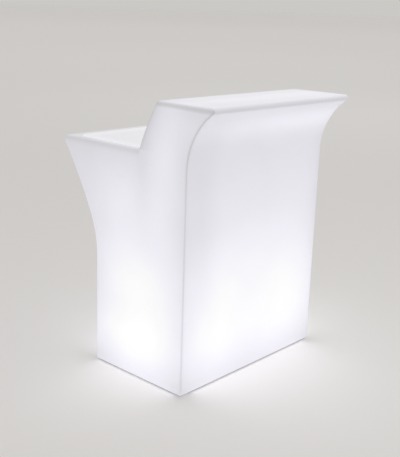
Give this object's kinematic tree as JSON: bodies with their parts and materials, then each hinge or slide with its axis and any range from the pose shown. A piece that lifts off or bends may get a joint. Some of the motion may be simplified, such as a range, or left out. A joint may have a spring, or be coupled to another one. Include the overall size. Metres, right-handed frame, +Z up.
{
  "type": "illuminated bar counter",
  "caption": "Free-standing illuminated bar counter: hollow translucent moulded body with a high flared bar top, a lower flared worktop with an inset panel, and an internal light kit.",
  "frame": {"origin": "centre of the overall footprint, at the floor under the levelling feet", "axes": "+Z up; -Y towards the customer, under the high bar top; +Y towards the server; +X to the right of someone looking along +Y at the customer's face"},
  "size_m": [0.822, 0.797, 1.1],
  "materials": {
    "shell_polyethylene": "moulded, translucent, satin",
    "worktop_acrylic": "opal sheet, satin",
    "seal_silicone": "matt",
    "plate_aluminium": "sheet, brushed",
    "gasket_foam": "matt",
    "fixings_steel": "stainless, satin",
    "bushes_brass": "machined",
    "plug_nylon": "moulded",
    "foot_rubber": "matt",
    "foot_steel": "zinc plated",
    "stand_white": "powder coated",
    "holder_plastic": "moulded",
    "cap_nickel": "nickel plated",
    "lamp_plastic": "moulded, satin",
    "globe_opal": "opal",
    "box_grey": "moulded",
    "terminal_nylon": "moulded",
    "lead_pvc": "extruded, satin",
    "service_plate_grey": "moulded, fine texture",
    "inlet_black": "moulded",
    "rocker_black": "moulded, satin"
  },
  "bodies": {
    "body": {"body_shell": "shell_polyethylene", "worktop_panel": "worktop_acrylic", "worktop_panel_seal": "seal_silicone", "base_plate": "plate_aluminium", "base_gasket": "gasket_foam", "base_plate_screws": "fixings_steel", "base_plate_bushes": "bushes_brass", "breather_plug": "plug_nylon", "foot_bushes": "bushes_brass", "lamp_stand_screws": "fixings_steel", "lampholder_screws": "fixings_steel", "junction_box": "box_grey", "junction_box_lid": "box_grey", "junction_box_screws": "fixings_steel", "terminal_block": "terminal_nylon", "cable_glands": "box_grey", "mains_lead": "lead_pvc", "cable_saddles": "plug_nylon", "service_plate": "service_plate_grey", "service_plate_screws": "fixings_steel", "service_plate_bushes": "bushes_brass", "inlet_body": "inlet_black", "inlet_pins": "cap_nickel", "inlet_flap_pin": "fixings_steel", "switch_housing": "inlet_black", "switch_blades": "cap_nickel", "terminal_shroud": "box_grey", "lamp_stand_left": "stand_white", "lampholder_left": "holder_plastic", "lampholder_sleeve_left": "bushes_brass", "lamp_cap_left": "cap_nickel", "lamp_body_left": "lamp_plastic", "lamp_globe_left": "globe_opal", "lamp_lead_left": "lead_pvc", "lamp_stand_right": "stand_white", "lampholder_right": "holder_plastic", "lampholder_sleeve_right": "bushes_brass", "lamp_cap_right": "cap_nickel", "lamp_body_right": "lamp_plastic", "lamp_globe_right": "globe_opal", "lamp_lead_right": "lead_pvc"},
    "inlet_flap": {"inlet_flap": "inlet_black"},
    "switch_rocker": {"switch_rocker": "rocker_black"},
    "foot_front_left": {"foot_stem_front_left": "foot_steel", "foot_pad_front_left": "foot_rubber"},
    "foot_front_right": {"foot_stem_front_right": "foot_steel", "foot_pad_front_right": "foot_rubber"},
    "foot_rear_left": {"foot_stem_rear_left": "foot_steel", "foot_pad_rear_left": "foot_rubber"},
    "foot_rear_right": {"foot_stem_rear_right": "foot_steel", "foot_pad_rear_right": "foot_rubber"}
  },
  "joints": [
    {"name": "foot_screw_front_left", "type": "slide", "parent": "body", "child": "foot_front_left", "axis": [0, 0, -1], "range_m": [0, 0.01]},
    {"name": "foot_screw_front_right", "type": "slide", "parent": "body", "child": "foot_front_right", "axis": [0, 0, -1], "range_m": [0, 0.01]},
    {"name": "foot_screw_rear_left", "type": "slide", "parent": "body", "child": "foot_rear_left", "axis": [0, 0, -1], "range_m": [0, 0.01]},
    {"name": "foot_screw_rear_right", "type": "slide", "parent": "body", "child": "foot_rear_right", "axis": [0, 0, -1], "range_m": [0, 0.01]},
    {"name": "flap_hinge", "type": "hinge", "parent": "body", "child": "inlet_flap", "pos_m": [0.223, 0.2064, 0.1379], "axis": [1, 0, 0], "range_deg": [0, 110]},
    {"name": "rocker_hinge", "type": "hinge", "parent": "body", "child": "switch_rocker", "pos_m": [0.283, 0.2025, 0.12], "axis": [-1, 0, 0], "range_deg": [0, 20]}
  ]
}
